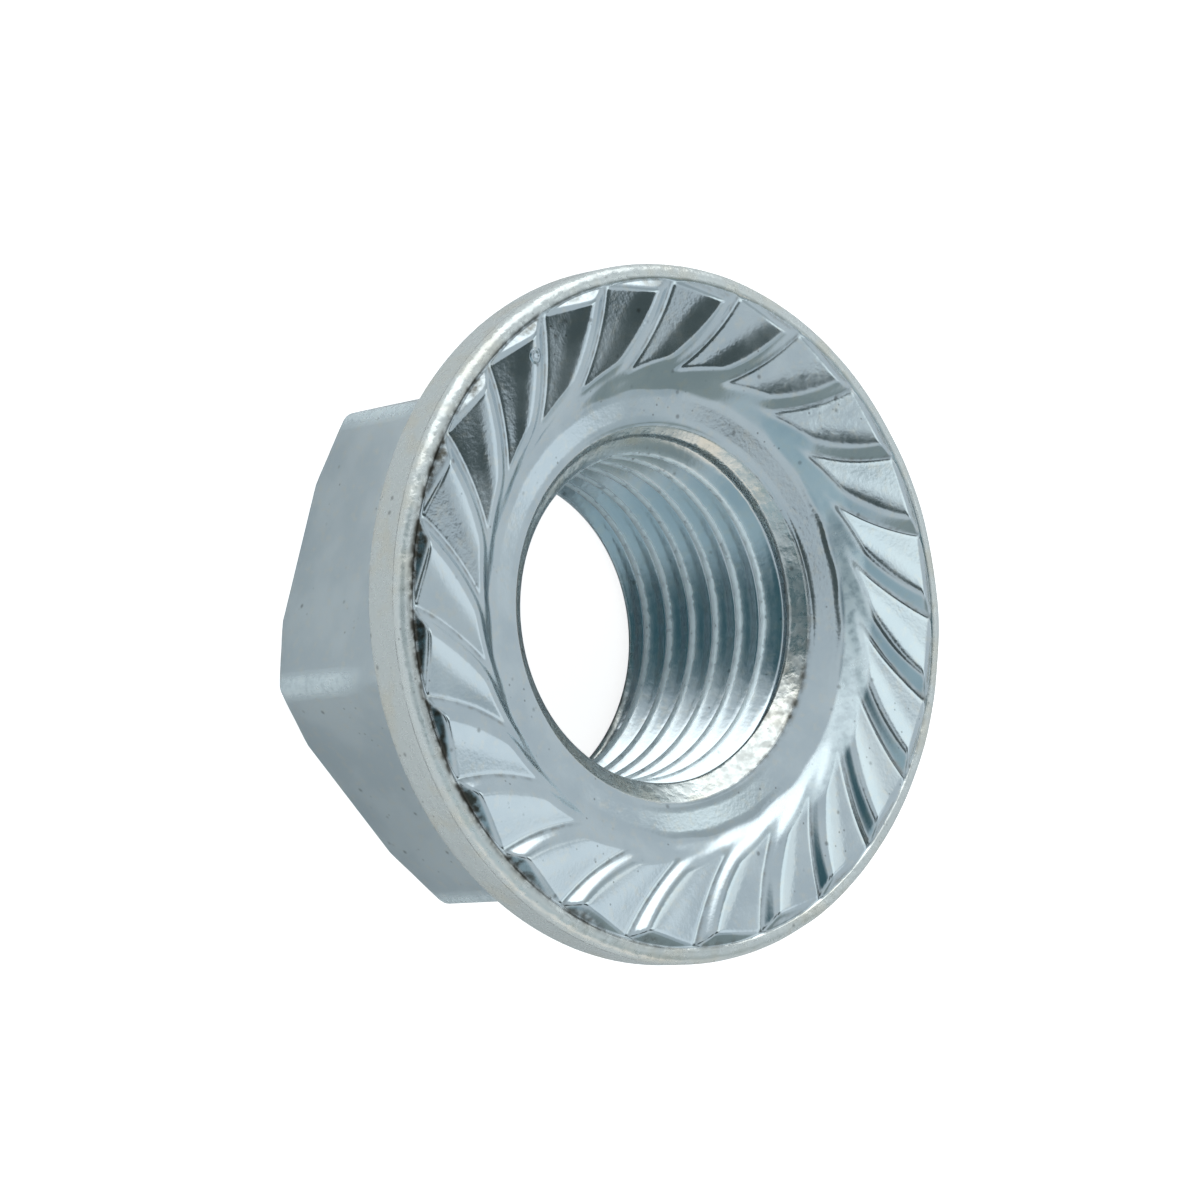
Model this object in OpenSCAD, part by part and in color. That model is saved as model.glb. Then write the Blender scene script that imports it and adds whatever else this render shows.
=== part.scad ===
// Hexagon flange nut with a serrated bearing face, for an M12 x 1.25 thread. Millimetres.
// It stands on the end of its hexagon, with the bearing face up. The origin is the centre
// of the hexagon's end face. The bore is cut at the thread's minor diameter.

/* [Hexagon] */
// Overall height, from the hexagon's end to the crests of the serrations
nut_h = 10.75; // [9.5:0.25:14]
// Width across the flats
across_flats = 17; // [15:0.25:18]
// Rounding of the upright corners
corner_round = 0.4; // [0.2:0.1:1]
// Radial width of the end chamfer, from a sharp corner inwards
end_chamfer_w = 1.1; // [0.6:0.1:1.3]
// Slope of the end chamfer from the end face
end_chamfer_angle = 37; // [20:1:50]

/* [Flange] */
// Outside diameter of the flange
flange_d = 23.2; // [22.5:0.1:28]
// Thickness of the rim, from its lower edge to the top of the lip
rim_h = 2; // [1.4:0.1:3]
// Rounding of the rim's lower edge
rim_low_r = 0.5; // [0.2:0.05:0.7]
// Rounding of the lip round the serrations
lip_r = 0.35; // [0.2:0.05:0.5]
// Height of the lip above the dished face beside it
lip_h = 0.1; // [0.05:0.01:0.2]
// Radial width of the lip, from the flange's outside to the serrations
lip_w = 0.45; // [0.35:0.05:0.8]
// Slope of the flange's back from the horizontal
back_angle = 20; // [10:1:30]
// Rounding between the flange's back and the hexagon
neck_r = 1; // [0.5:0.1:1.5]

/* [Bore] */
// Minor diameter of the thread
bore_d = 10.8; // [9:0.05:11.2]
// Radial width of the countersink at the bearing face
mouth_w = 0.95; // [0.5:0.05:1.3]
// Radial width of the countersink at the hexagon's end
end_mouth_w = 0.9; // [0.5:0.05:1.3]
// Included angle of both countersinks
mouth_angle = 90; // [80:1:120]

/* [Bearing face] */
// Radial width of the plain ring between the countersink and the serrations
ring_w = 1.2; // [0.6:0.1:1.5]
// Slope of the dished face, which rises towards the rim
dish_angle = 9; // [4:1:12]
// Number of serrations
tooth_count = 24; // [18:1:30]
// Height of a crest above the dished face
tooth_h = 0.4; // [0.25:0.01:0.5]
// Height of a valley above the dished face, at its outer end
valley_h = 0.1; // [0.06:0.01:0.15]
// Width of the narrow land along a crest
crest_w = 0.15; // [0.05:0.05:0.3]
// Slope of a serration's flank and ends from the horizontal
tooth_side_angle = 33; // [28:1:45]
// Lean of a flank from the radial direction at its inner end
lean_in = 70; // [60:1:75]
// Lean of a flank from the radial direction at its outer end
lean_out = 16; // [5:1:25]
// Angle from a corner of the hexagon to the outer foot of a flank
serration_turn = 3.3; // [0:0.1:15]

/* [Hidden] */
$fn = 120;

// Straight steps in each rounded stretch of an outline
arc_steps = 8;
// Depth by which joined forms are sunk into each other
sink = 0.2;
// Spare length by which a cut passes the surface that it opens
over = 1;

corner_r = across_flats / 2 / cos(30);
end_face_r = corner_r - end_chamfer_w;
end_chamfer_h = end_chamfer_w * tan(end_chamfer_angle);

flange_r = flange_d / 2;
bore_r = bore_d / 2;
mouth_r = bore_r + mouth_w;
end_mouth_r = bore_r + end_mouth_w;
ring_r = mouth_r + ring_w;
serration_r = flange_r - lip_w;
pitch_angle = 360 / tooth_count;

// Radii between which a crest runs at its full height
crest_in_r = ring_r + tooth_h / (tan(tooth_side_angle) - tan(dish_angle));
crest_out_r = serration_r - tooth_h / (tan(tooth_side_angle) + tan(dish_angle));
// Level of the dished face at the plain ring's outer edge
ring_z = nut_h - tooth_h - (crest_out_r - ring_r) * tan(dish_angle);

// Level of the dished face at radius r
function dish_z(r) = ring_z + (r - ring_r) * tan(dish_angle);

// Centres of the rim's two roundings in the section, as [radius, height]
lip_top_z = dish_z(serration_r) + lip_h;
lip_centre = [flange_r - lip_r, lip_top_z - lip_r];
rim_low_centre = [flange_r - rim_low_r, lip_top_z - rim_h + rim_low_r];
// Where the lip's rounding ends, low on its inner side
lip_end_angle = 150;
lip_in_r = lip_centre[0] + lip_r * cos(lip_end_angle);

// Level of the flange's back at radius r, which touches the rim's lower rounding
function back_z(r) =
    rim_low_centre[1] - rim_low_r / cos(back_angle) - (rim_low_centre[0] - r) * tan(back_angle);

// The neck's rounding touches the back and runs into the hexagon's flats
neck_in_r = across_flats / 2 - sink;
neck_centre = [neck_in_r + neck_r, back_z(neck_in_r + neck_r) - neck_r / cos(back_angle)];

// A flank is part of a cone that narrows upwards about an upright axis outside the flange.
// At the ring's level its curve has the two leans at the ends of the serrations.
flank_r = (serration_r * serration_r - ring_r * ring_r)
    / (2 * (ring_r * sin(lean_in) - serration_r * sin(lean_out)));
flank_centre_r =
    sqrt(ring_r * ring_r + flank_r * flank_r + 2 * ring_r * flank_r * sin(lean_in));

// Radius of a flank's cone at height z
function flank_cone_r(z) = flank_r - (z - ring_z) / tan(tooth_side_angle);

// Angle about the nut's axis from a flank's centre to its point at radius r and height z
function flank_angle(r, z) =
    acos((r * r + flank_centre_r * flank_centre_r - flank_cone_r(z) * flank_cone_r(z))
        / (2 * r * flank_centre_r));

// Point of flank i at radius r and height h above the dished face, moved on along its
// circle by a length of arc. Flank 0 curves about a centre on +X.
function flank_point(i, r, h, along = 0) =
    let (a = i * pitch_angle - flank_angle(r, dish_z(r) + h) + along / r * 180 / PI)
    [r * cos(a), r * sin(a), dish_z(r) + h];

// Upright normal of the plane through three points
function plane_normal(p, q, s) =
    let (n = cross(q - p, s - p)) n * sign(n[2]) / norm(n);

// Points along an arc of an outline
function arc(centre, r, from, to) =
    [for (i = [0:arc_steps]) let (a = from + (to - from) * i / arc_steps)
        centre + r * [cos(a), sin(a)]];

// Flange with its rim, lip, sloping back and dished bearing face, turned about the axis
module flange() {
    rotate_extrude() polygon(concat(
        [[0, neck_centre[1]]],
        arc(neck_centre, neck_r, 180, 90 + back_angle),
        arc(rim_low_centre, rim_low_r, back_angle - 90, 0),
        arc(lip_centre, lip_r, 0, lip_end_angle),
        [[lip_in_r, dish_z(lip_in_r)], [0, dish_z(0)]]
    ));
}

// Hexagon with rounded corners and a chamfered end
module hexagon() {
    round_centre_r = (across_flats / 2 - corner_round) / cos(30);
    intersection() {
        linear_extrude(rim_low_centre[1])
            polygon([for (i = [0:5]) each
                arc(round_centre_r * [cos(60 * i), sin(60 * i)], corner_round,
                    60 * i - 30, 60 * i + 30)]);
        rotate_extrude() polygon([
            [0, 0],
            [end_face_r, 0],
            [corner_r, end_chamfer_h],
            [corner_r, rim_low_centre[1]],
            [0, rim_low_centre[1]]
        ]);
    }
}

// Bore at the minor diameter, with a countersink at each end
module bore() {
    slope = tan(90 - mouth_angle / 2);
    mouth_z = dish_z(mouth_r);
    rotate_extrude() polygon([
        [0, -over],
        [end_mouth_r + over / slope, -over],
        [bore_r, end_mouth_w * slope],
        [bore_r, mouth_z - mouth_w * slope],
        [mouth_r + over / slope, mouth_z + over],
        [0, mouth_z + over]
    ]);
}

// Ring that holds the serrations, with sloping ends that run on under the face
module serration_ring() {
    drop = sink * tan(tooth_side_angle);
    rotate_extrude() polygon([
        [ring_r - sink, dish_z(ring_r) - drop],
        [crest_in_r, dish_z(crest_in_r) + tooth_h],
        [crest_out_r, dish_z(crest_out_r) + tooth_h],
        [serration_r + sink, dish_z(serration_r) - drop]
    ]);
}

// Cone of flank 0, which holds the wedge behind the flank
module flank_cone() {
    low_z = ring_z - 2 * over;
    high_z = nut_h + over;
    translate([flank_centre_r, 0, low_z])
        cylinder(h = high_z - low_z, r1 = flank_cone_r(low_z), r2 = flank_cone_r(high_z));
}

// Block whose top is the ramp, which falls from crest 0 to the foot of flank 1 and under it
module ramp_block() {
    crest_in = flank_point(0, crest_in_r, tooth_h, crest_w);
    crest_out = flank_point(0, crest_out_r, tooth_h, crest_w);
    foot = flank_point(1, crest_out_r, valley_h);
    up = plane_normal(crest_in, crest_out, foot);
    reach = serration_r - ring_r + over;
    translate((crest_in + crest_out + foot) / 3)
        rotate([0, acos(up[2]), atan2(up[1], up[0])])
            translate([-reach, -reach, -over])
                cube([2 * reach, 2 * reach, over]);
}

// Serrations: wedges with a curved flank, a narrow crest and a long ramp, round the ring
module serrations() {
    // Turn of flank 0's centre that puts the flank's outer foot at its place
    start = serration_turn + flank_angle(serration_r, dish_z(serration_r) + valley_h);
    intersection() {
        serration_ring();
        for (i = [0:tooth_count - 1])
            rotate([0, 0, start + i * pitch_angle])
                intersection() {
                    flank_cone();
                    ramp_block();
                }
    }
}

module flange_nut() {
    color([0.72, 0.77, 0.80])
        difference() {
            union() {
                flange();
                hexagon();
                serrations();
            }
            bore();
        }
}

flange_nut();
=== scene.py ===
"""Serrated hexagon flange nut, zinc plated, with its fine thread, on a plain pale floor."""

import math

import bpy
import numpy as np
from mathutils import Matrix, Vector


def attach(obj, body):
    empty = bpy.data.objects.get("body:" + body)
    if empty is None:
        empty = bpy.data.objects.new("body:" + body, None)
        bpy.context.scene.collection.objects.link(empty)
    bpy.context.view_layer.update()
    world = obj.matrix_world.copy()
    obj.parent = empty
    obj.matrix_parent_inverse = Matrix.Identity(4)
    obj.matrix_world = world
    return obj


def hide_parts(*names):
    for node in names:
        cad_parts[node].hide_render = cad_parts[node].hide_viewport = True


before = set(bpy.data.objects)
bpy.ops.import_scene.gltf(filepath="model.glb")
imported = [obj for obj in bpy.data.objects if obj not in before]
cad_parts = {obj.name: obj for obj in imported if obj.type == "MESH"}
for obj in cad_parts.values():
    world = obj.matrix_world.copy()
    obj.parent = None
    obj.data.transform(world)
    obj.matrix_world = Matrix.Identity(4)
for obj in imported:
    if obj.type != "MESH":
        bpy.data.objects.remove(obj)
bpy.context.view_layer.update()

# Dimensions in millimetres, the same as the part's own
MM = 0.001
NUT_H = 10.75
ACROSS_FLATS = 17
CORNER_ROUND = 0.4
END_CHAMFER_W = 1.1
END_CHAMFER_ANGLE = math.radians(37)
FLANGE_R = 11.6
RIM_H = 2
RIM_LOW_R = 0.5
LIP_R = 0.35
LIP_H = 0.1
LIP_W = 0.45
BACK_ANGLE = math.radians(20)
NECK_R = 1
NECK_SINK = 0.2
BORE_R = 5.4
MOUTH_W = 0.95
END_MOUTH_W = 0.9
RING_W = 1.2
DISH_SLOPE = math.tan(math.radians(9))
TOOTH_COUNT = 24
TOOTH_H = 0.4
VALLEY_H = 0.1
CREST_W = 0.15
SIDE_SLOPE = math.tan(math.radians(33))
LEAN_IN = math.radians(70)
LEAN_OUT = math.radians(16)
SERRATION_TURN = math.radians(3.3)

# Thread, right hand: its turns rise with the angle about the axis
PITCH = 1.25
ROOT_R = 6.0
THREAD_CREST_HALF = 0.12
THREAD_FLANK_SLOPE = math.tan(math.radians(60))
THREAD_ROUND = 0.12
# A turn's crest passes this height at this angle
CREST_AT_Z = 8.13
CREST_AT_ANGLE = math.radians(169.57)

# The plain ring lies this much steeper than the dish outside it
RING_STEEPER = math.radians(1.2)

# Rounding of the serrations' edges, of the mouth's, the lip's and the end chamfer's, and
# of the edge of the end's countersink
EDGE_ROUND = 0.12
MOUTH_ROUND = 0.1
LIP_ROUND = 0.05
CHAMFER_ROUND = 0.5
END_MOUTH_ROUND = 0.1

# Levels and radii worked out from the dimensions
PITCH_ANGLE = 2 * math.pi / TOOTH_COUNT
MOUTH_R = BORE_R + MOUTH_W
END_MOUTH_R = BORE_R + END_MOUTH_W
RING_R = MOUTH_R + RING_W
SERRATION_R = FLANGE_R - LIP_W
CREST_IN_R = RING_R + TOOTH_H / (SIDE_SLOPE - DISH_SLOPE)
CREST_OUT_R = SERRATION_R - TOOTH_H / (SIDE_SLOPE + DISH_SLOPE)
RING_Z = NUT_H - TOOTH_H - (CREST_OUT_R - RING_R) * DISH_SLOPE
MOUTH_Z = RING_Z + (MOUTH_R - RING_R) * DISH_SLOPE
CORNER_R = ACROSS_FLATS / 2 / math.cos(math.pi / 6)
END_FACE_R = CORNER_R - END_CHAMFER_W
LIP_TOP_Z = RING_Z + (SERRATION_R - RING_R) * DISH_SLOPE + LIP_H
LIP_CENTRE_R = FLANGE_R - LIP_R
LIP_CENTRE_Z = LIP_TOP_Z - LIP_R
RIM_LOW_CENTRE_R = FLANGE_R - RIM_LOW_R
RIM_LOW_CENTRE_Z = LIP_TOP_Z - RIM_H + RIM_LOW_R
NECK_TOUCH_R = ACROSS_FLATS / 2 - NECK_SINK + NECK_R - NECK_R * math.sin(BACK_ANGLE)

# A flank is part of a cone about an upright axis outside the flange
FLANK_R = (SERRATION_R**2 - RING_R**2) / (
    2 * (RING_R * math.sin(LEAN_IN) - SERRATION_R * math.sin(LEAN_OUT))
)
FLANK_CENTRE_R = math.sqrt(RING_R**2 + FLANK_R**2 + 2 * RING_R * FLANK_R * math.sin(LEAN_IN))


def smooth_min(a, b, k):
    """Lower of two levels, rounded off where they are within k of each other."""
    near = np.maximum(k - np.abs(a - b), 0)
    return np.minimum(a, b) - near**2 / (4 * k)


def smooth_max(a, b, k):
    """Higher of two levels, rounded off in the same way."""
    return -smooth_min(-a, -b, k)


def gate(value, start, end):
    """0 up to start and 1 from end on, with a smooth change between."""
    t = np.clip((value - start) / (end - start), 0, 1)
    return t * t * (3 - 2 * t)


def dish_z(r):
    """Level of the dished face."""
    return RING_Z + (r - RING_R) * DISH_SLOPE


def flank_z(r, angle):
    """Level of flank 0's cone, whose axis is at angle 0."""
    away = np.sqrt(r**2 + FLANK_CENTRE_R**2 - 2 * r * FLANK_CENTRE_R * np.cos(angle))
    return RING_Z + (FLANK_R - away) * SIDE_SLOPE


def flank_angle(r, z):
    """Angle from the cone's axis back to flank 0 at radius r and height z."""
    cone_r = FLANK_R - (z - RING_Z) / SIDE_SLOPE
    cosine = (r**2 + FLANK_CENTRE_R**2 - cone_r**2) / (2 * r * FLANK_CENTRE_R)
    return np.arccos(np.clip(cosine, -1, 1))


def flank_point(i, r, h, along=0):
    """Point of flank i at height h above the dish, moved on along its circle."""
    a = i * PITCH_ANGLE - flank_angle(r, dish_z(r) + h) + along / r
    return np.array([r * math.cos(a), r * math.sin(a), dish_z(r) + h])


def ramp_plane():
    """Level and slopes of ramp 0, which falls from crest 0 to the foot of flank 1."""
    crest_in = flank_point(0, CREST_IN_R, TOOTH_H, CREST_W)
    crest_out = flank_point(0, CREST_OUT_R, TOOTH_H, CREST_W)
    foot = flank_point(1, CREST_OUT_R, VALLEY_H)
    n = np.cross(crest_out - crest_in, foot - crest_in)
    return n @ foot / n[2], -n[0] / n[2], -n[1] / n[2]


RAMP = ramp_plane()


def ramp_z(r, angle):
    """Level of ramp 0."""
    return RAMP[0] + RAMP[1] * r * np.cos(angle) + RAMP[2] * r * np.sin(angle)


def tooth_z(r, angle, k):
    """Top of serration 0 with its edges rounded by k."""
    inner = RING_Z + (r - RING_R) * SIDE_SLOPE
    outer = dish_z(SERRATION_R) + (SERRATION_R - r) * SIDE_SLOPE
    top = smooth_min(flank_z(r, angle), ramp_z(r, angle), k)
    top = smooth_min(top, dish_z(r) + TOOTH_H, k)
    top = smooth_min(top, inner, k)
    return smooth_min(top, outer, k)


# The pressed face is slightly uneven: waves cross it, and each serration lies a little off
# its place. Lengths and sizes in millimetres
WAVE_COUNT = 28
SHORTEST_WAVE = 1.2
LONGEST_WAVE = 5
MOST_SHIFT = 0.04
UNEVEN_FACE = 0.004
UNEVEN_FLANK = 0.025
UNEVEN_LIP = 0.02
random = np.random.default_rng(12)
WAVE_LENGTHS = random.uniform(SHORTEST_WAVE, LONGEST_WAVE, WAVE_COUNT)
WAVE_HEADINGS = random.uniform(0, 2 * math.pi, WAVE_COUNT)
WAVE_PHASES = random.uniform(0, 2 * math.pi, WAVE_COUNT)
TOOTH_SHIFTS = random.uniform(-MOST_SHIFT, MOST_SHIFT, TOOTH_COUNT)


def waves(r, angle, turn=0):
    """Irregular waves between about -1 and 1. Another turn gives other waves."""
    total = 0
    for length, heading, phase in zip(WAVE_LENGTHS, WAVE_HEADINGS, WAVE_PHASES):
        along = r * np.cos(angle - heading - turn)
        total = total + length * np.sin(2 * math.pi * along / length + phase)
    return total / np.sum(WAVE_LENGTHS) * 3


def bearing_z(r, angle, k):
    """Level of the bearing face with its serrations, for angles near serration 0."""
    ring = dish_z(r) - np.maximum(RING_R - r, 0) * math.tan(RING_STEEPER)
    z = smooth_min(ring, MOUTH_Z + (r - MOUTH_R), MOUTH_ROUND)
    for shift in (PITCH_ANGLE, 0, -PITCH_ANGLE):
        z = smooth_max(z, tooth_z(r, angle + shift, k), k)
    lip = LIP_CENTRE_Z + np.sqrt(np.maximum(LIP_R**2 - (r - LIP_CENTRE_R) ** 2, 0))
    return np.where(r > LIP_CENTRE_R - LIP_R, smooth_max(z, lip, LIP_ROUND), z)


def bisect(f, low, high, steps=40):
    """Where f, which is negative at low and positive at high, passes zero."""
    low, high = np.array(low, float), np.array(high, float)
    for _ in range(steps):
        middle = (low + high) / 2
        below = f(middle) < 0
        low = np.where(below, middle, low)
        high = np.where(below, high, middle)
    return (low + high) / 2


# Radii down to which the mesh's columns follow the flank's foot and its crest
FOOT_FROM_R = 8.0
CREST_FROM_R = 8.45
# Angle about the nut of flank 0's axis, which puts the flank's outer foot at its place
FLANK_AXIS_ANGLE = SERRATION_TURN + flank_angle(SERRATION_R, dish_z(SERRATION_R) + VALLEY_H)


def foot_angle(r):
    """Angle of flank 0's foot, where it meets the ramp before it."""
    near_r = np.maximum(r, FOOT_FROM_R)
    on_dish = -flank_angle(near_r, dish_z(near_r))
    on_crest = -flank_angle(near_r, dish_z(near_r) + TOOTH_H)
    foot = bisect(
        lambda a: flank_z(near_r, a) - ramp_z(near_r, a + PITCH_ANGLE), on_dish, on_crest
    )
    held_r = np.clip(r, RING_R, FOOT_FROM_R)
    return -flank_angle(held_r, dish_z(held_r)) * (r < FOOT_FROM_R) + np.where(
        r < FOOT_FROM_R, (foot - on_dish) * FOOT_FROM_R / held_r, foot
    )


def flank_width(r):
    """Length of arc between a flank's foot and crest."""
    r = np.maximum(r, CREST_FROM_R)
    return (-flank_angle(r, dish_z(r) + TOOTH_H) - foot_angle(r)) * r


def spread(n, ease):
    """n fractions from 0 towards 1, closer together near both ends as ease nears 1."""
    t = np.arange(n) / n
    return t - ease * np.sin(2 * math.pi * t) / (2 * math.pi)


FLANK_COLUMNS = 6
CREST_COLUMNS = 3
RAMP_COLUMNS = 17
TOOTH_COLUMNS = FLANK_COLUMNS + CREST_COLUMNS + RAMP_COLUMNS
# How strongly the columns crowd towards the edges of a flank and of a ramp
FLANK_EASE = 0.5
RAMP_EASE = 0.6


def column_angle(r, column):
    """Angle, from its flank's axis, of a column of the bearing face's mesh at radius r."""
    foot = foot_angle(r)
    flank = flank_width(r) / r
    land = CREST_W / r
    ramp = PITCH_ANGLE - flank - land
    past_flank = np.ones(CREST_COLUMNS + RAMP_COLUMNS)
    flank_part = np.append(spread(FLANK_COLUMNS, FLANK_EASE), past_flank)
    land_part = np.concatenate(
        [np.zeros(FLANK_COLUMNS), spread(CREST_COLUMNS, 0), np.ones(RAMP_COLUMNS)]
    )
    before_ramp = np.zeros(FLANK_COLUMNS + CREST_COLUMNS)
    ramp_part = np.append(before_ramp, spread(RAMP_COLUMNS, RAMP_EASE))
    return (
        foot + flank * flank_part[column] + land * land_part[column] + ramp * ramp_part[column]
    )


# Radial widths of the countersink that belong to the bore's rows and to the bearing face's
BORE_SINK_W = 0.75
BEARING_SINK_W = 0.15
# Radii of the bearing face's rows, which lie closest at the serrations' two ends
ROW_RADII = [
    MOUTH_R - BEARING_SINK_W,
    MOUTH_R,
    RING_R - 0.08,
    8.7,
    10.5,
    SERRATION_R - 0.03,
    LIP_CENTRE_R,
]
# Number of rows from each of these radii to the next, and round the lip
ROW_COUNTS = [4, 8, 26, 13, 14, 3]
LIP_ROWS = 8


def bearing_grid():
    """Vertices of the bearing face and lip as [column, row], from the mouth to the rim."""
    spans = zip(ROW_RADII, ROW_RADII[1:], ROW_COUNTS)
    r = np.concatenate([np.linspace(a, b, n, endpoint=False) for a, b, n in spans])
    r = np.append(r, LIP_CENTRE_R)[None, :]
    in_tooth = column_angle(r, np.arange(TOOTH_COLUMNS)[:, None])
    r = np.repeat(r, TOOTH_COLUMNS, axis=0)
    angles, levels = [], []
    for i in range(TOOTH_COUNT):
        angle = in_tooth + FLANK_AXIS_ANGLE + PITCH_ANGLE * i
        shift = TOOTH_SHIFTS[i] + UNEVEN_FLANK * waves(r, angle)
        z = bearing_z(r, in_tooth + shift / r, EDGE_ROUND) + UNEVEN_FACE * waves(r, angle, 1)
        angles.append(np.hstack([angle, np.repeat(angle[:, -1:], LIP_ROWS, axis=1)]))
        levels.append(z)
    angle = np.vstack(angles)
    z = np.vstack(levels)
    r = np.tile(r, (TOOTH_COUNT, 1))
    around = np.radians(np.linspace(90, 0, LIP_ROWS + 1))[1:] + np.zeros((z.shape[0], 1))
    r = np.hstack([r, LIP_CENTRE_R + LIP_R * np.cos(around)])
    z = np.hstack([z, z[:, -1:] - LIP_R * (1 - np.sin(around))])
    # The lip's dents lie below its true height, and draw it in by half their depth
    lip = gate(r, SERRATION_R, LIP_CENTRE_R)
    dent = UNEVEN_LIP * (waves(r, angle, 2) - 1)
    return r + lip * np.minimum(dent, 0) / 2, angle, z + lip * dent


# A bend of a path takes up at most this share of the straights beside it
BEND_SHARE = 0.45


def rounded_path(points, radii, arc_steps, line_steps):
    """Rows along a path with rounded bends. points are [column, 2] each, radii [column]."""
    rows = []
    last = points[0]
    for j in range(1, len(points)):
        if j < len(points) - 1:
            before = points[j] - points[j - 1]
            after = points[j + 1] - points[j]
            length_before = np.linalg.norm(before, axis=1)
            length_after = np.linalg.norm(after, axis=1)
            cosine = np.sum(before * after, axis=1) / (length_before * length_after)
            turn = np.arccos(np.clip(cosine, -1, 1))
            reach = np.minimum(radii[j] * np.tan(turn / 2), BEND_SHARE * length_before)
            reach = np.minimum(reach, BEND_SHARE * length_after)
            into = points[j] - before * (reach / length_before)[:, None]
            out = points[j] + after * (reach / length_after)[:, None]
        else:
            into = points[j]
        for t in np.arange(line_steps[j - 1]) / line_steps[j - 1]:
            rows.append(last + (into - last) * t)
        if j == len(points) - 1:
            rows.append(into)
            break
        for t in np.arange(arc_steps[j]) / arc_steps[j]:
            rows.append((1 - t) ** 2 * into + 2 * t * (1 - t) * points[j] + t**2 * out)
        last = out
    return np.stack(rows, axis=1)


CORNER_COLUMNS = 9
FLAT_COLUMNS = 26
# Steps in each bend and each straight of the path from the rim to the end's countersink
BEND_STEPS = [0, 8, 8, 4, 4, 4]
STRAIGHT_STEPS = [6, 7, 12, 3, 5, 2]
# Height from the rim's first row up to the lip's rounding
RIM_GAP = 0.06
# Depth of the end's countersink down to its last row
END_SINK_DEPTH = 0.18
# Least size of the neck and the end chamfer, which run out on the flats
LEAST_NECK = 0.1
LEAST_CHAMFER_H = 0.1
LEAST_CHAMFER_W = 0.13


def body_grid():
    """Vertices of rim, back, hexagon and end as [column, row], down to the bore's end."""
    round_centre_r = (ACROSS_FLATS / 2 - CORNER_ROUND) / math.cos(math.pi / 6)
    turn = np.radians(np.linspace(-30, 30, CORNER_COLUMNS))
    corner_x = round_centre_r + CORNER_ROUND * np.cos(turn)
    corner_y = CORNER_ROUND * np.sin(turn)
    corner = np.arctan2(corner_y, corner_x)
    corner_r = np.hypot(corner_y, corner_x)
    flat = np.linspace(corner[-1], math.pi / 3 - corner[-1], FLAT_COLUMNS + 2)[1:-1]
    flat_r = ACROSS_FLATS / 2 / np.cos(flat - math.pi / 6)
    angle = np.concatenate([np.append(corner, flat) + i * math.pi / 3 for i in range(6)])
    wall_r = np.tile(np.append(corner_r, flat_r), 6)

    def point(r, z):
        return np.stack([r + 0 * wall_r, z + 0 * wall_r], axis=1)

    def back_z(r):
        low = RIM_LOW_CENTRE_Z - RIM_LOW_R / math.cos(BACK_ANGLE)
        return low - (RIM_LOW_CENTRE_R - r) * math.tan(BACK_ANGLE)

    # The neck's rounding reaches the same circle on the back all round
    neck_reach = np.maximum((NECK_TOUCH_R - wall_r) / math.cos(BACK_ANGLE), LEAST_NECK)
    neck_radius = neck_reach / math.tan((math.pi / 2 - BACK_ANGLE) / 2)
    chamfer_z = (wall_r - END_FACE_R) * math.tan(END_CHAMFER_ANGLE)
    chamfer_z = np.maximum(chamfer_z, LEAST_CHAMFER_H)
    face_edge_r = np.minimum(END_FACE_R, wall_r - LEAST_CHAMFER_W)
    points = [
        point(FLANGE_R, LIP_CENTRE_Z - RIM_GAP),
        point(FLANGE_R, back_z(FLANGE_R)),
        point(wall_r, back_z(wall_r)),
        point(wall_r, chamfer_z),
        point(face_edge_r, 0),
        point(END_MOUTH_R, 0),
        point(END_MOUTH_R - END_SINK_DEPTH, END_SINK_DEPTH),
    ]
    radii = [0, RIM_LOW_R, neck_radius, CHAMFER_ROUND, CHAMFER_ROUND, END_MOUTH_ROUND]
    path = rounded_path(points, radii, BEND_STEPS, STRAIGHT_STEPS)
    r, z = path[:, :, 0], path[:, :, 1]
    return r, np.repeat(angle[:, None], r.shape[1], axis=1), z


BORE_COLUMNS = 240
# Heights above a turn's crest, within half a pitch, where the thread's rows lie
HALF_ROWS = [0.06, 0.12, 0.18, 0.25, 0.34, 0.42, 0.48, 0.55]
TURN_ROWS = sorted([-h for h in HALF_ROWS] + [0] + HALF_ROWS + [PITCH / 2])
BORE_LOW_Z = 0.25
BORE_HIGH_Z = MOUTH_Z - (MOUTH_R - BORE_R - BORE_SINK_W)
# Rows closer than this to the bore's lowest or highest loop fall into it
LOOP_GAP = 0.02
# Height of the crest at angle 0
CREST_FIRST_Z = CREST_AT_Z - PITCH * CREST_AT_ANGLE / (2 * math.pi)


def off_crest(z, angle):
    """Height between a point of the bore and the nearest crest of the thread."""
    crest_z = CREST_FIRST_Z + PITCH * angle / (2 * math.pi)
    return np.abs((z - crest_z + PITCH / 2) % PITCH - PITCH / 2)


def bore_radius(z, angle):
    """Radius of the threaded bore with a countersink at each end."""
    off = off_crest(z, angle)
    thread = smooth_max((off - THREAD_CREST_HALF) * THREAD_FLANK_SLOPE, 0 * off, THREAD_ROUND)
    thread = BORE_R + smooth_min(thread, ROOT_R - BORE_R + 0 * off, THREAD_ROUND)
    low = END_MOUTH_R - z
    high = MOUTH_R + z - MOUTH_Z
    return smooth_max(thread, np.maximum(low, high), THREAD_ROUND)


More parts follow.
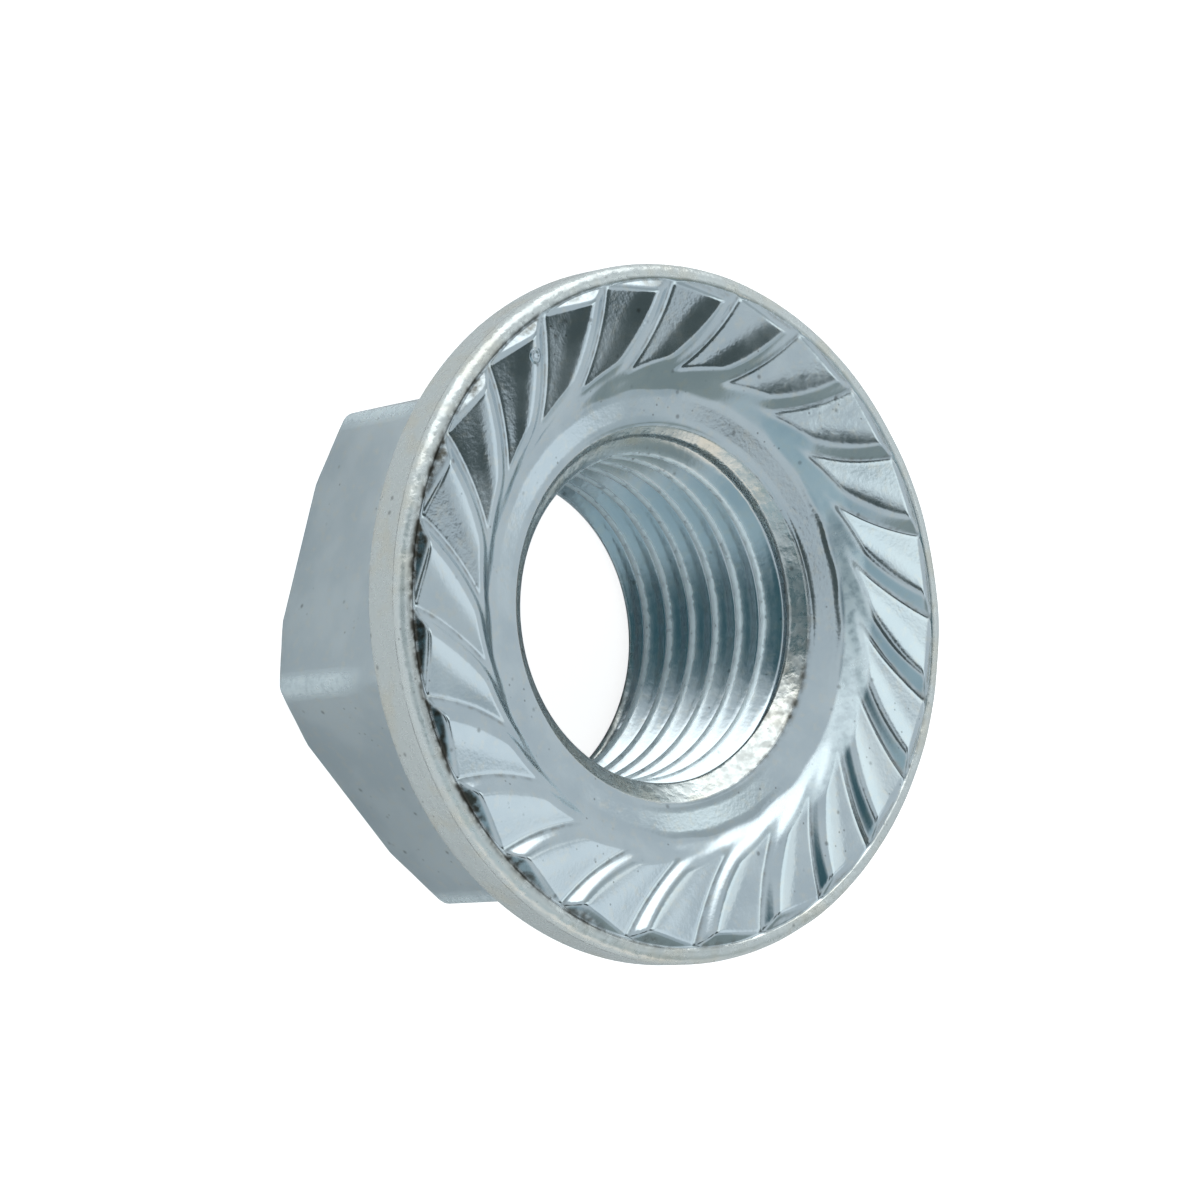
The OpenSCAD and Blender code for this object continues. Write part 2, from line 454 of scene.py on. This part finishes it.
def bore_mesh():
    """Vertices and faces of the threaded bore, and its lowest and highest loop.

    The rows follow the helix, so a row that comes round once is a pitch higher."""
    step = 2 * math.pi / BORE_COLUMNS
    turn_rows = len(TURN_ROWS)
    turns = math.ceil((BORE_HIGH_Z - BORE_LOW_Z) / PITCH) + 2
    first_z = CREST_FIRST_Z - PITCH * math.ceil((CREST_FIRST_Z - BORE_LOW_Z) / PITCH + 1)
    low = list(range(BORE_COLUMNS))
    high = list(range(BORE_COLUMNS, 2 * BORE_COLUMNS))
    places = [(k * step, BORE_LOW_Z) for k in range(BORE_COLUMNS)]
    places += [(k * step, BORE_HIGH_Z) for k in range(BORE_COLUMNS)]
    ids = {}

    def vertex(k, m):
        if k == BORE_COLUMNS:
            k, m = 0, m + turn_rows
        if (k, m) not in ids:
            turn, row = divmod(m, turn_rows)
            z = first_z + PITCH * (turn + k / BORE_COLUMNS) + TURN_ROWS[row]
            if z < BORE_LOW_Z + LOOP_GAP:
                ids[k, m] = low[k]
            elif z > BORE_HIGH_Z - LOOP_GAP:
                ids[k, m] = high[k]
            else:
                ids[k, m] = len(places)
                places.append((k * step, z))
        return ids[k, m]

    faces = []
    for k in range(BORE_COLUMNS):
        for m in range(turns * turn_rows):
            ring = [vertex(k, m), vertex(k, m + 1), vertex(k + 1, m + 1), vertex(k + 1, m)]
            face = [v for i, v in enumerate(ring) if v != ring[i - 1]]
            if len(face) > 2:
                faces.append(face)
    places = np.array(places)
    r = bore_radius(places[:, 1], places[:, 0])
    return r, places[:, 0], places[:, 1], faces, low, high


def zip_loops(ids_a, angles_a, ids_b, angles_b):
    """Triangles that join two loops round the axis, a before b on the mesh's path."""
    loops = []
    for ids, angles in ((ids_a, angles_a), (ids_b, angles_b)):
        turned = np.mod(angles, 2 * math.pi)
        order = np.argsort(turned)
        loop_ids = [int(ids[i]) for i in order]
        loop_angles = list(turned[order])
        closing_angle = loop_angles[0] + 2 * math.pi
        loops.append((loop_ids + loop_ids[:1], loop_angles + [closing_angle]))
    (a, at_a), (b, at_b) = loops
    faces = []
    i = j = 0
    while i < len(a) - 1 or j < len(b) - 1:
        if j == len(b) - 1 or (i < len(a) - 1 and at_a[i + 1] < at_b[j + 1]):
            faces.append([a[i], b[j], a[i + 1]])
            i += 1
        else:
            faces.append([a[i], b[j], b[j + 1]])
            j += 1
    return faces


def grid_faces(ids):
    """Quads of a grid of vertex numbers as [column, row], closed round the axis."""
    after = np.roll(ids, -1, axis=0)
    quads = np.stack([ids[:, :-1], ids[:, 1:], after[:, 1:], after[:, :-1]], axis=2)
    return quads.reshape(-1, 4).tolist()


def place(r, angle, z):
    """Points from radius, angle and height."""
    return np.stack([r * np.cos(angle), r * np.sin(angle), z], axis=-1).reshape(-1, 3)


# Angles of the sides where the painted shade with brown dirt behind the serrations is darkest
# and where most dirt lies in the countersink, of the serrations that were pressed roughest, and
# of those whose inner ends get a painted highlight
SHADED_CREVICE_SIDE = math.radians(-5)
DIRTY_SINK_SIDE = math.radians(137.786)
ROUGH_SIDE = math.radians(218)
HIGHLIGHT_SIDE = math.radians(145)

# Strengths of the marks, from 0 to 1. Each fades in and out over part of a millimetre, by
# gates whose limits are offsets from the dimensions
FOOT_SHADE = 0.33
LEAST_CREVICE_SHADE_AND_DIRT = 0.22
MOST_CREVICE_SHADE_AND_DIRT = 0.9
MOUTH_DIRT = 0.6
SINK_DIRT = 0.35
NECK_DARKENING = 0.25
ROUGH_TEETH = 0.4
ROUGH_SINK = 0.8
ROUGH_RIM = 0.85
ROUGH_HEXAGON = 0.16
ROUGH_END = 0.35
ROUGH_THREAD = 0.3
HIGHLIGHT_ENDS = 0.7
PALE_CORNERS = 0.5

# Half widths of the lines of painted shade along the feet, of dirt along the mouth, and of the
# darker line along the neck
FOOT_LINE_W = 0.1
MOUTH_LINE_W = 0.12
NECK_LINE_W = 0.5


def near_side(angle, side, sharpness):
    """1 at the side's angle, falling to 0 at the opposite one, the sharper the sooner."""
    return (0.5 + 0.5 * np.cos(angle - side)) ** sharpness


def near_line(away, width):
    """1 on a line, falling to 0 at about twice the width away from it."""
    return np.exp(-((away / width) ** 2))


def foot_shade(r, from_foot):
    """Painted shade along the feet of the flanks."""
    to_foot = np.minimum(from_foot, PITCH_ANGLE * r - from_foot)
    return FOOT_SHADE * near_line(to_foot, FOOT_LINE_W)


def crevice_shade_and_dirt(r, angle, in_tooth):
    """Painted shade with brown dirt between the serrations' outer ends and the lip, where the
    ends are deepest, darkest on one side of the nut.
    """
    # The painted shade and dirt are darkest towards one side of the nut
    darker_side = near_side(angle, SHADED_CREVICE_SIDE, 3)
    top = np.minimum(flank_z(r, in_tooth), ramp_z(r, in_tooth))
    outer_end = dish_z(SERRATION_R) + (SERRATION_R - r) * SIDE_SLOPE
    crevice = gate(top - outer_end, -0.02, 0.14) * gate(r, CREST_OUT_R - 0.1, CREST_OUT_R + 0.2)
    crevice *= 1 - gate(r, SERRATION_R - 0.1, SERRATION_R + 0.12 + 0.15 * darker_side)
    return crevice * (LEAST_CREVICE_SHADE_AND_DIRT + (MOST_CREVICE_SHADE_AND_DIRT - LEAST_CREVICE_SHADE_AND_DIRT) * darker_side)


def bearing_marks(r, angle):
    """How rough the bearing face and the lip are, how dark with dirt and painted shade, and how
    pale with a painted highlight, from 0 to 1.
    """
    foot = foot_angle(r)
    from_foot = np.mod(angle - FLANK_AXIS_ANGLE - foot, PITCH_ANGLE) * r
    toothed = gate(r, FOOT_FROM_R, CREST_FROM_R) * (1 - gate(r, SERRATION_R - 0.2, SERRATION_R))
    sink = 1 - gate(r, MOUTH_R - 0.12, MOUTH_R + 0.03)
    rough_teeth = ROUGH_TEETH * near_side(angle, ROUGH_SIDE, 40) * toothed
    rough = np.maximum(gate(r, CREST_OUT_R + 0.3, SERRATION_R), rough_teeth)
    crevice = crevice_shade_and_dirt(r, angle, foot + from_foot / r)
    # Painted shade along the flanks' feet, and painted shade with brown dirt in the crevice
    # behind the serrations
    dirt_and_shade = np.maximum(foot_shade(r, from_foot) * toothed, crevice)
    mouth_line = near_line(r - MOUTH_R + 0.1, MOUTH_LINE_W)
    mouth_line *= near_side(angle, DIRTY_SINK_SIDE, 8)
    inner_end = gate(r, RING_R, RING_R + 0.1) * (1 - gate(r, CREST_IN_R, CREST_IN_R + 0.2))
    # Painted highlight: the serrations' inner ends on one side of the nut are painted pale
    pale_and_highlight = HIGHLIGHT_ENDS * inner_end * near_side(angle, HIGHLIGHT_SIDE, 6)
    return np.maximum(rough, ROUGH_SINK * sink), np.maximum(dirt_and_shade, MOUTH_DIRT * mouth_line), pale_and_highlight


def body_marks(r, z):
    """How rough the rim, back, hexagon and end are, how much darker along the neck, and how much
    paler along the hexagon's corners.
    """
    rim = gate(r, NECK_TOUCH_R, FLANGE_R - 0.1)
    end = 1 - gate(z, 0.1, 0.8)
    neck = near_line(r - NECK_TOUCH_R, NECK_LINE_W) * gate(z, 5, 7)
    corner = gate(r, CORNER_R - 0.25, CORNER_R - 0.12) * (1 - gate(z, 4, 6))
    rough = ROUGH_HEXAGON + (ROUGH_RIM - ROUGH_HEXAGON) * rim
    return np.maximum(rough, ROUGH_END * end), NECK_DARKENING * neck, PALE_CORNERS * corner


def bore_marks(angle, z):
    """How rough the thread and both countersinks are, how dirty the countersinks, and how much
    paler along the thread's crests.
    """
    sink = gate(z, MOUTH_Z - MOUTH_W - 0.1, MOUTH_Z - MOUTH_W + 0.15)
    sink = np.maximum(sink, 1 - gate(z, END_MOUTH_W - 0.15, END_MOUTH_W + 0.1))
    rough = ROUGH_THREAD + (ROUGH_SINK - ROUGH_THREAD) * sink
    dirt_and_shade = SINK_DIRT * sink * near_side(angle, DIRTY_SINK_SIDE, 4)
    pale_and_highlight = (1 - gate(off_crest(z, angle), 0.1, 0.22)) * (1 - sink)
    return rough, dirt_and_shade, pale_and_highlight


def nut_mesh():
    """The whole nut as one closed mesh."""
    bearing = bearing_grid()
    body = body_grid()
    bore_r, bore_angle, bore_z, bore_faces, low, high = bore_mesh()
    bearing_ids = np.arange(bearing[0].size).reshape(bearing[0].shape)
    body_ids = bearing_ids.size + np.arange(body[0].size).reshape(body[0].shape)
    bore_start = bearing_ids.size + body_ids.size
    faces = grid_faces(bearing_ids) + grid_faces(body_ids)
    faces += [[v + bore_start for v in face] for face in bore_faces]
    low_ids = np.array(low) + bore_start
    high_ids = np.array(high) + bore_start
    faces += zip_loops(high_ids, bore_angle[high], bearing_ids[:, 0], bearing[1][:, 0])
    faces += zip_loops(bearing_ids[:, -1], bearing[1][:, -1], body_ids[:, 0], body[1][:, 0])
    faces += zip_loops(body_ids[:, -1], body[1][:, -1], low_ids, bore_angle[low])
    points = np.vstack([place(*bearing), place(*body), place(bore_r, bore_angle, bore_z)])
    mesh = bpy.data.meshes.new("nut")
    mesh.from_pydata((points * MM).tolist(), [], faces)
    marks = [bearing_marks(*bearing[:2]), body_marks(body[0], body[2])]
    marks.append(bore_marks(bore_angle, bore_z))
    for name, parts in zip(("rough", "dirt_and_shade", "pale_and_highlight"), zip(*marks)):
        attribute = mesh.attributes.new(name, "FLOAT", "POINT")
        attribute.data.foreach_set("value", np.concatenate([part.ravel() for part in parts]))
    mesh.shade_smooth()
    return mesh


def add_nut():
    nut = bpy.data.objects.new("nut", nut_mesh())
    bpy.context.scene.collection.objects.link(nut)
    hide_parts("flange_nut")
    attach(nut, "root")
    return nut


nut = add_nut()


def feed(tree, socket, value):
    """Links another node's output to the socket, or sets a plain value on it."""
    if isinstance(value, bpy.types.NodeSocket):
        tree.links.new(value, socket)
    else:
        socket.default_value = value


def combine(tree, operation, a, b=0.0):
    """Result of a sum, product or other operation on two inputs."""
    node = tree.nodes.new("ShaderNodeMath")
    node.operation = operation
    feed(tree, node.inputs[0], a)
    feed(tree, node.inputs[1], b)
    return node.outputs[0]


def add(tree, a, b):
    return combine(tree, "ADD", a, b)


def multiply(tree, a, b):
    return combine(tree, "MULTIPLY", a, b)


def noise(tree, place, per_mm, detail=3.0):
    """Irregular pattern with about per_mm spots to the millimetre."""
    node = tree.nodes.new("ShaderNodeTexNoise")
    tree.links.new(place, node.inputs["Vector"])
    node.inputs["Scale"].default_value = per_mm
    node.inputs["Detail"].default_value = detail
    return node.outputs["Fac"]


def between(tree, value, low, high, from_value=0.0, to_value=1.0):
    """Moves smoothly from one value to the other as the input goes from low to high."""
    node = tree.nodes.new("ShaderNodeMapRange")
    node.interpolation_type = "SMOOTHSTEP"
    tree.links.new(value, node.inputs["Value"])
    node.inputs["From Min"].default_value = low
    node.inputs["From Max"].default_value = high
    node.inputs["To Min"].default_value = from_value
    node.inputs["To Max"].default_value = to_value
    return node.outputs["Result"]


def blend(tree, factor, a, b):
    """Colour a where the factor is 0 and b where it is 1."""
    node = tree.nodes.new("ShaderNodeMix")
    node.data_type = "RGBA"
    tree.links.new(factor, node.inputs["Factor"])
    feed(tree, node.inputs["A"], a)
    feed(tree, node.inputs["B"], b)
    return node.outputs["Result"]


def mark(tree, name):
    """One of the mesh's own marks."""
    node = tree.nodes.new("ShaderNodeAttribute")
    node.attribute_name = name
    return node.outputs["Fac"]


def pits(tree, place, areas, per_mm, size, share):
    """Small round pits, in a share of the areas only."""
    node = tree.nodes.new("ShaderNodeTexVoronoi")
    tree.links.new(place, node.inputs["Vector"])
    node.inputs["Scale"].default_value = per_mm
    edge = size * per_mm
    hole = between(tree, node.outputs["Distance"], 0.2 * edge, edge, 1.0, 0.0)
    where = between(tree, areas, 1 - share, 1.1 - share)
    return multiply(tree, hole, where)


# Colours of the plating and of its painted highlight, of the brown dirt and painted shade, and
# of the pits
ZINC_PALE = (0.66, 0.735, 0.77, 1)
ZINC_BLUE = (0.585, 0.665, 0.71, 1)
ZINC_CHALKY = (0.71, 0.755, 0.75, 1)
ZINC_CREAM = (0.72, 0.725, 0.67, 1)
ZINC_PALE_AND_HIGHLIGHT = (0.84, 0.96, 1.0, 1)
DIRT_AND_SHADE_BROWN = (0.085, 0.082, 0.068, 1)
PIT_GREY = (0.16, 0.175, 0.17, 1)
# Spots to the millimetre of the patterns. Their values lie mostly between 0.3 and 0.7
GRAIN = 7.0
SPECK = 3.2
LUMP = 1.3
CREAM_SPOTS = 0.9
BLOTCH = 0.55
PITTED_AREAS = 0.5
# Spots to the millimetre, size in millimetres and share of the surface of the two sorts of pits
LARGE_PITS = (1.1, 0.12, 0.58)
SMALL_PITS = (2.6, 0.06, 0.5)
# Shares of one colour or pattern in another, and of the metal's shine that is lost
MOTTLE = 0.45
SPECK_IN_LUMPS = 0.4
PIT_STAIN = 0.6
PALE_DULL = 0.95
ROUGH_DULL = 0.4
# Roughness of the smooth plating, and what rough spots, dirt and painted shade, pale marks and
# the painted highlight add to it
GLOSSY = 0.08
LESS_GLOSSY = 0.15
ROUGH_ADDS = 0.24
MARK_ADDS = 0.2
# Heights of the surface's relief in metres
FINE_RELIEF = 0.0000016
ROUGH_RELIEF = 0.00008
# Middle, radius and half width in millimetres, and height in metres, of a ring-shaped
# blister in the plating
BLISTER_AT = (4.10, -9.24, 10.65)
BLISTER_R = 0.18
BLISTER_W = 0.11
BLISTER_H = 0.00004


class Zinc:
    """Patterns and marks that the plating's colour, gloss and relief share."""

    def __init__(self, tree):
        scale = tree.nodes.new("ShaderNodeVectorMath")
        scale.operation = "SCALE"
        tree.links.new(tree.nodes.new("ShaderNodeTexCoord").outputs["Object"], scale.inputs[0])
        scale.inputs["Scale"].default_value = 1 / MM
        self.tree = tree
        self.place = scale.outputs[0]
        self.grain = noise(tree, self.place, GRAIN, 1.0)
        self.speck = noise(tree, self.place, SPECK, 3.0)
        self.blotch = noise(tree, self.place, BLOTCH, 4.0)
        self.rough = mark(tree, "rough")
        # The pale marks and the painted highlight spread out in specks
        pale_spread = between(tree, self.speck, 0.25, 0.6, 0.6, 1.0)
        self.pale_and_highlight = multiply(tree, mark(tree, "pale_and_highlight"), pale_spread)
        # The dirt and the painted shade spread out in specks
        spread = between(tree, self.speck, 0.3, 0.7, 0.5, 1.4)
        self.dirt_and_shade = between(tree, multiply(tree, mark(tree, "dirt_and_shade"), spread), 0.0, 1.0)
        areas = noise(tree, self.place, PITTED_AREAS, 2.0)
        large = pits(tree, self.place, areas, *LARGE_PITS)
        small = pits(tree, self.place, areas, *SMALL_PITS)
        self.pit = combine(tree, "MAXIMUM", large, small)


def zinc_colour(zinc):
    """Blotched and mottled blue-white, chalky and creamy where rough, pale with a painted
    highlight on the serrations' inner ends and paler along the thread's crests and the hexagon's
    corners.
    """
    tree = zinc.tree
    colour = blend(tree, between(tree, zinc.blotch, 0.35, 0.65), ZINC_BLUE, ZINC_PALE)
    colour = blend(tree, between(tree, zinc.speck, 0.5, 0.75, 0.0, MOTTLE), colour, ZINC_CREAM)
    cream = between(tree, noise(tree, zinc.place, CREAM_SPOTS), 0.45, 0.7)
    chalk = blend(tree, cream, ZINC_CHALKY, ZINC_CREAM)
    colour = blend(tree, between(tree, zinc.rough, 0.45, 0.8), colour, chalk)
    # Painted highlight on the serrations' inner ends, and paler thread crests and hexagon
    # corners
    colour = blend(tree, zinc.pale_and_highlight, colour, ZINC_PALE_AND_HIGHLIGHT)
    colour = blend(tree, multiply(tree, zinc.pit, PIT_STAIN), colour, PIT_GREY)
    # Brown dirt, and painted shade along the flanks' feet and in the crevice behind the
    # serrations, with the darker line along the neck
    return blend(tree, zinc.dirt_and_shade, colour, DIRT_AND_SHADE_BROWN)


def zinc_metallic(zinc):
    """Full metal, but duller on the roughest places and where the pale marks and the painted
    highlight are.
    """
    rough_metal = between(zinc.tree, zinc.rough, 0.75, 1.0, 1.0, 1 - ROUGH_DULL)
    return combine(zinc.tree, "SUBTRACT", rough_metal, multiply(zinc.tree, zinc.pale_and_highlight, PALE_DULL))


def zinc_roughness(zinc):
    """Glossy, but less so in blotches, rough spots, dirt and painted shade, pale marks and the
    painted highlight.
    """
    tree = zinc.tree
    rough_spots = multiply(tree, zinc.rough, between(tree, zinc.speck, 0.35, 0.65, 0.5, 1.0))
    roughness = between(tree, zinc.blotch, 0.3, 0.7, GLOSSY, LESS_GLOSSY)
    roughness = add(tree, roughness, multiply(tree, rough_spots, ROUGH_ADDS))
    return add(tree, roughness, multiply(tree, add(tree, zinc.dirt_and_shade, zinc.pale_and_highlight), MARK_ADDS))


def blister_height(zinc):
    """Height of the blister's ring."""
    tree = zinc.tree
    away = tree.nodes.new("ShaderNodeVectorMath")
    away.operation = "DISTANCE"
    tree.links.new(zinc.place, away.inputs[0])
    away.inputs[1].default_value = BLISTER_AT
    off_ring = combine(tree, "SUBTRACT", away.outputs["Value"], BLISTER_R)
    return between(tree, combine(tree, "ABSOLUTE", off_ring), 0.0, BLISTER_W, BLISTER_H, 0.0)


def zinc_height(zinc):
    """Fine grain everywhere, lumps where rough, and the blister, in metres."""
    tree = zinc.tree
    fine = multiply(tree, add(tree, zinc.speck, zinc.grain), FINE_RELIEF)
    specks = multiply(tree, zinc.speck, SPECK_IN_LUMPS)
    lumps = add(tree, noise(tree, zinc.place, LUMP), specks)
    lumps = multiply(tree, lumps, ROUGH_RELIEF)
    lumps = multiply(tree, lumps, combine(tree, "POWER", zinc.rough, 2.0))
    return add(tree, add(tree, fine, lumps), blister_height(zinc))


def zinc_material():
    """Blue-white zinc plating."""
    material = bpy.data.materials.new("zinc_plated_steel")
    material.use_nodes = True
    tree = material.node_tree
    shader = tree.nodes["Principled BSDF"]
    zinc = Zinc(tree)
    tree.links.new(zinc_colour(zinc), shader.inputs["Base Color"])
    tree.links.new(zinc_metallic(zinc), shader.inputs["Metallic"])
    tree.links.new(zinc_roughness(zinc), shader.inputs["Roughness"])
    bump = tree.nodes.new("ShaderNodeBump")
    # The heights are true ones, so the bump leaves them as they are
    bump.inputs["Distance"].default_value = 1
    tree.links.new(zinc_height(zinc), bump.inputs["Height"])
    tree.links.new(bump.outputs["Normal"], shader.inputs["Normal"])
    return material


nut.data.materials.append(zinc_material())

# Camera where the photo's was, aimed at a point of the bearing face
AIM = Vector((2.965, -1.009, 10)) * MM
CAMERA_DISTANCE = 157.287 * MM
CAMERA_AZIMUTH = math.radians(-5.405)
CAMERA_ELEVATION = math.radians(51.089)
CAMERA_ROLL = math.radians(-82.992)
LENS = 144.488
CLIP_START = 0.01


def camera_axes():
    """The camera's right and up, and the direction from its aim to it."""
    level = Vector((-math.sin(CAMERA_AZIMUTH), math.cos(CAMERA_AZIMUTH), 0))
    away = Vector((
        math.cos(CAMERA_ELEVATION) * math.cos(CAMERA_AZIMUTH),
        math.cos(CAMERA_ELEVATION) * math.sin(CAMERA_AZIMUTH),
        math.sin(CAMERA_ELEVATION),
    ))
    up = math.cos(CAMERA_ROLL) * away.cross(level) + math.sin(CAMERA_ROLL) * level
    return up.cross(away), up, away


def add_camera():
    right, up, away = camera_axes()
    camera = bpy.data.objects.new("camera", bpy.data.cameras.new("camera"))
    turn = Matrix((right, up, away)).transposed().to_4x4()
    camera.matrix_world = Matrix.Translation(AIM + away * CAMERA_DISTANCE) @ turn
    camera.data.lens = LENS
    camera.data.clip_start = CLIP_START
    bpy.context.scene.collection.objects.link(camera)
    bpy.context.scene.camera = camera


add_camera()

# Half the floor's width in metres, its colour, and the light that lifts it to white for the
# camera. The nut sees the floor as it is lit
FLOOR_HALF = 1.5
FLOOR_GREY = (0.72, 0.72, 0.72, 1)
FLOOR_ROUGHNESS = 0.9
FLOOR_LIFT = 0.85
WHITE = (1, 1, 1, 1)


def floor_material():
    material = bpy.data.materials.new("floor")
    material.use_nodes = True
    tree = material.node_tree
    shader = tree.nodes["Principled BSDF"]
    shader.inputs["Base Color"].default_value = FLOOR_GREY
    shader.inputs["Roughness"].default_value = FLOOR_ROUGHNESS
    shader.inputs["Specular IOR Level"].default_value = 0
    shader.inputs["Emission Color"].default_value = WHITE
    seen = tree.nodes.new("ShaderNodeLightPath").outputs["Is Camera Ray"]
    tree.links.new(multiply(tree, seen, FLOOR_LIFT), shader.inputs["Emission Strength"])
    return material


def add_floor():
    """Plain white floor that the nut stands on."""
    mesh = bpy.data.meshes.new("floor")
    half = FLOOR_HALF
    corners = [(-half, -half, 0), (half, -half, 0), (half, half, 0), (-half, half, 0)]
    mesh.from_pydata(corners, [], [(0, 1, 2, 3)])
    floor = bpy.data.objects.new("floor", mesh)
    bpy.context.scene.collection.objects.link(floor)
    mesh.materials.append(floor_material())


add_floor()


def studio_direction(longitude, latitude):
    """Direction from the nut, in degrees: longitude 0 is towards the camera, 90 its right."""
    right, up, away = camera_axes()
    lon, lat = math.radians(longitude), math.radians(latitude)
    level = math.sin(lon) * right + math.cos(lon) * away
    return math.cos(lat) * level + math.sin(lat) * up


# What stands round the nut and shows in its metal, each over the ones before it:
# longitude and latitude of its middle, half width, softness of its edge, and colour
STUDIO = [
    ((15, 80), 41, 10, (1.8, 1.85, 1.85)),
    ((60, -85), 35, 14, (0.95, 0.9, 0.84)),
    ((88, -36), 20, 10, (0.27, 0.32, 0.32)),
    ((28, -34), 22, 20, (0.35, 0.465, 0.515)),
    ((2, 4), 27, 18, (0.05, 0.11, 0.13)),
    ((77, 27), 9.5, 3, (0.42, 0.47, 0.49)),
    ((84, -13), 7.5, 4, (0.45, 0.51, 0.54)),
    ((78, 13.5), 7.2, 3, (1.08, 1.17, 1.18)),
    ((86, 13), 3.5, 3, (0.95, 1.0, 1.0)),
    ((88, 1), 6.5, 3, (0.85, 0.92, 0.96)),
    ((68.5, 4.5), 6.8, 2, (0.075, 0.095, 0.095)),
    ((71.5, 0.5), 5.5, 2, (0.075, 0.095, 0.095)),
    ((49, 2), 8, 3, (0.08, 0.1, 0.1)),
]
STUDIO_GREY = (0.58, 0.63, 0.66, 1)


def in_card(tree, direction, middle, half_width, softness):
    """1 in directions within a round card of the studio and 0 outside it, softly between."""
    dot = tree.nodes.new("ShaderNodeVectorMath")
    dot.operation = "DOT_PRODUCT"
    tree.links.new(direction, dot.inputs[0])
    dot.inputs[1].default_value = studio_direction(*middle)
    outside = math.cos(math.radians(half_width + softness / 2))
    inside = math.cos(math.radians(half_width - softness / 2))
    return between(tree, dot.outputs["Value"], outside, inside)


def add_world():
    """Studio seen by the metal. The camera itself sees plain white behind the floor."""
    world = bpy.data.worlds.new("studio")
    bpy.context.scene.world = world
    world.use_nodes = True
    tree = world.node_tree
    direction = tree.nodes.new("ShaderNodeTexCoord").outputs["Generated"]
    colour = STUDIO_GREY
    for middle, half_width, softness, tint in STUDIO:
        card = in_card(tree, direction, middle, half_width, softness)
        colour = blend(tree, card, colour, (*tint, 1))
    seen = tree.nodes.new("ShaderNodeLightPath").outputs["Is Camera Ray"]
    tree.links.new(blend(tree, seen, colour, WHITE), tree.nodes["Background"].inputs["Color"])


add_world()

# The softbox: its direction, and its distance and width in metres
SOFTBOX_TOWARD = (0.8, 0.3, 1)
SOFTBOX_DISTANCE = 0.4
SOFTBOX_SIZE = 0.3
SOFTBOX_WATTS = 0.45


def add_softbox():
    """Soft light that the metal doesn't show in its reflections, mainly for the floor, which
    then lights the nut from below.
    """
    box = bpy.data.objects.new("softbox", bpy.data.lights.new("softbox", "AREA"))
    direction = Vector(SOFTBOX_TOWARD).normalized()
    box.location = direction * SOFTBOX_DISTANCE
    box.rotation_euler = direction.to_track_quat("Z", "Y").to_euler()
    box.data.size = SOFTBOX_SIZE
    box.data.energy = SOFTBOX_WATTS
    box.visible_glossy = False
    bpy.context.scene.collection.objects.link(box)


add_softbox()

bpy.context.scene.view_settings.view_transform = "Standard"
